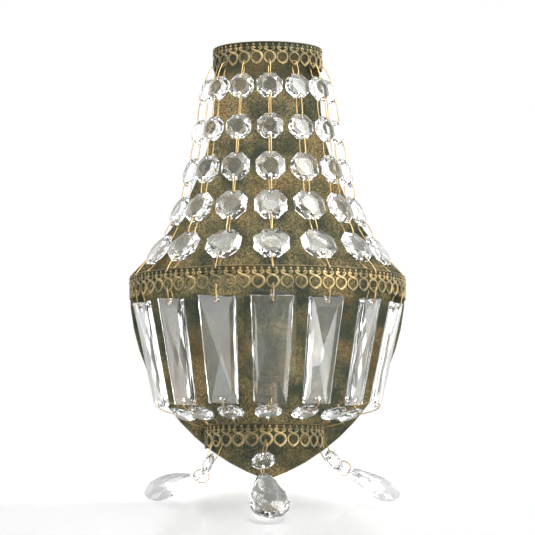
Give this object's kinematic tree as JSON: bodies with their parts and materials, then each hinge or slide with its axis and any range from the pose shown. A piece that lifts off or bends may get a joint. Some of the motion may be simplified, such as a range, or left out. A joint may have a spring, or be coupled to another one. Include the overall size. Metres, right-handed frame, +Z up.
{
  "type": "crystal wall sconce",
  "caption": "Shield-shaped wall sconce: half-round pierced galleries carry strings of octagon beads, tapered prisms and swinging almond drops.",
  "frame": {"origin": "point of the wall half way between the wall bracket's two fixing slots", "axes": "+Z up, the front faces -Y and +Y goes into the wall, +X to the right as seen from the front"},
  "size_m": [0.1732, 0.1007, 0.2947],
  "materials": {
    "verdigris_gilt": "dark olive and verdigris paint rubbed through to gold, brushed by hand, half matt",
    "crystal": "clear cut crystal, polished facets",
    "gilt_wire": "bright brass wire, slightly toned",
    "aged_brass": "aged brass, dull",
    "zinc_steel": "zinc-plated steel",
    "dark_cup": "dark bronze paint, satin",
    "holder_resin": "moulded heat-resistant resin, near black",
    "contact_brass": "plain sheet brass",
    "grommet_rubber": "black rubber",
    "terminal_resin": "off-white moulded plastic",
    "lead_sleeve": "glass-braid sleeve, grey"
  },
  "bodies": {
    "sconce": {"arm_nuts": "zinc_steel", "back_plate": "verdigris_gilt", "band_rivets": "aged_brass", "bottom_band": "verdigris_gilt", "cable_grommet": "grommet_rubber", "cap_nuts": "aged_brass", "centre_contact": "contact_brass", "lamp_arm": "dark_cup", "lamp_cup": "dark_cup", "lamp_lead": "lead_sleeve", "lampholder": "holder_resin", "middle_band": "verdigris_gilt", "prism_1": "crystal", "prism_2": "crystal", "prism_3": "crystal", "prism_4": "crystal", "prism_5": "crystal", "prism_6": "crystal", "prism_7": "crystal", "prism_links_1": "gilt_wire", "prism_links_2": "gilt_wire", "prism_links_3": "gilt_wire", "prism_links_4": "gilt_wire", "prism_links_5": "gilt_wire", "prism_links_6": "gilt_wire", "prism_links_7": "gilt_wire", "screw_shell": "contact_brass", "string_beads_1": "crystal", "string_beads_2": "crystal", "string_beads_3": "crystal", "string_beads_4": "crystal", "string_beads_5": "crystal", "string_beads_6": "crystal", "string_beads_7": "crystal", "string_links_1": "gilt_wire", "string_links_2": "gilt_wire", "string_links_3": "gilt_wire", "string_links_4": "gilt_wire", "string_links_5": "gilt_wire", "string_links_6": "gilt_wire", "string_links_7": "gilt_wire", "stud_nuts": "zinc_steel", "studs": "zinc_steel", "terminal_block": "terminal_resin", "terminal_screws": "zinc_steel", "tie_beads": "crystal", "top_band": "verdigris_gilt", "wall_bracket": "zinc_steel"},
    "left_link": {"left_drop_link": "gilt_wire"},
    "left_bead": {"left_drop_bead": "crystal"},
    "left_ring": {"left_drop_ring": "gilt_wire"},
    "left_almond": {"left_drop_almond": "crystal"},
    "centre_link": {"centre_drop_link": "gilt_wire"},
    "centre_bead": {"centre_drop_bead": "crystal"},
    "centre_ring": {"centre_drop_ring": "gilt_wire"},
    "centre_almond": {"centre_drop_almond": "crystal"},
    "right_link": {"right_drop_link": "gilt_wire"},
    "right_bead": {"right_drop_bead": "crystal"},
    "right_ring": {"right_drop_ring": "gilt_wire"},
    "right_almond": {"right_drop_almond": "crystal"}
  },
  "joints": [
    {"name": "left_link_swing", "type": "hinge", "parent": "sconce", "child": "left_link", "pos_m": [-0.03181, -0.03351, -0.16245], "axis": [0.1392, -0.9903, 0], "range_deg": [-21, 58]},
    {"name": "left_bead_swing", "type": "hinge", "parent": "left_link", "child": "left_bead", "pos_m": [-0.03544, -0.03402, -0.17067], "axis": [-0.9047, -0.1271, 0.4067], "range_deg": [-50, 115]},
    {"name": "left_ring_swing", "type": "hinge", "parent": "left_bead", "child": "left_ring", "pos_m": [-0.03937, -0.02901, -0.17786], "axis": [0.9047, 0.1271, -0.4067], "range_deg": [-83, 62]},
    {"name": "left_almond_swing", "type": "hinge", "parent": "left_ring", "child": "left_almond", "pos_m": [-0.0413, -0.0263, -0.18131], "axis": [0.1383, 0.8152, 0.5624], "range_deg": [-130, 58]},
    {"name": "centre_link_swing", "type": "hinge", "parent": "sconce", "child": "centre_link", "pos_m": [-0.0022, -0.0486, -0.16245], "axis": [0.9781, 0.2079, 0], "range_deg": [-88, 0]},
    {"name": "centre_bead_swing", "type": "hinge", "parent": "centre_link", "child": "centre_bead", "pos_m": [-0.00355, -0.04227, -0.1687], "axis": [0.1444, -0.6795, -0.7193], "range_deg": [-87, 71]},
    {"name": "centre_ring_swing", "type": "hinge", "parent": "centre_bead", "child": "centre_ring", "pos_m": [-0.00366, -0.0353, -0.17531], "axis": [-0.1444, 0.6795, 0.7193], "range_deg": [-71, 69]},
    {"name": "centre_almond_swing", "type": "hinge", "parent": "centre_ring", "child": "centre_almond", "pos_m": [-0.0038, -0.03183, -0.17862], "axis": [-0.9891, -0.1206, -0.0847], "range_deg": [-104, 12]},
    {"name": "right_link_swing", "type": "hinge", "parent": "sconce", "child": "right_link", "pos_m": [0.03395, -0.01773, -0.16245], "axis": [0.6018, 0.7986, 0], "range_deg": [-13, 55]},
    {"name": "right_bead_swing", "type": "hinge", "parent": "right_link", "child": "right_bead", "pos_m": [0.03776, -0.0206, -0.17009], "axis": [0.6773, -0.5104, 0.5299], "range_deg": [-115, 9]},
    {"name": "right_ring_swing", "type": "hinge", "parent": "right_bead", "child": "right_ring", "pos_m": [0.04443, -0.01407, -0.17233], "axis": [-0.6773, 0.5104, -0.5299], "range_deg": [-90, 30]},
    {"name": "right_almond_swing", "type": "hinge", "parent": "right_ring", "child": "right_almond", "pos_m": [0.04746, -0.01391, -0.17605], "axis": [-0.3776, -0.8593, -0.3449], "range_deg": [-125, 75]}
  ]
}
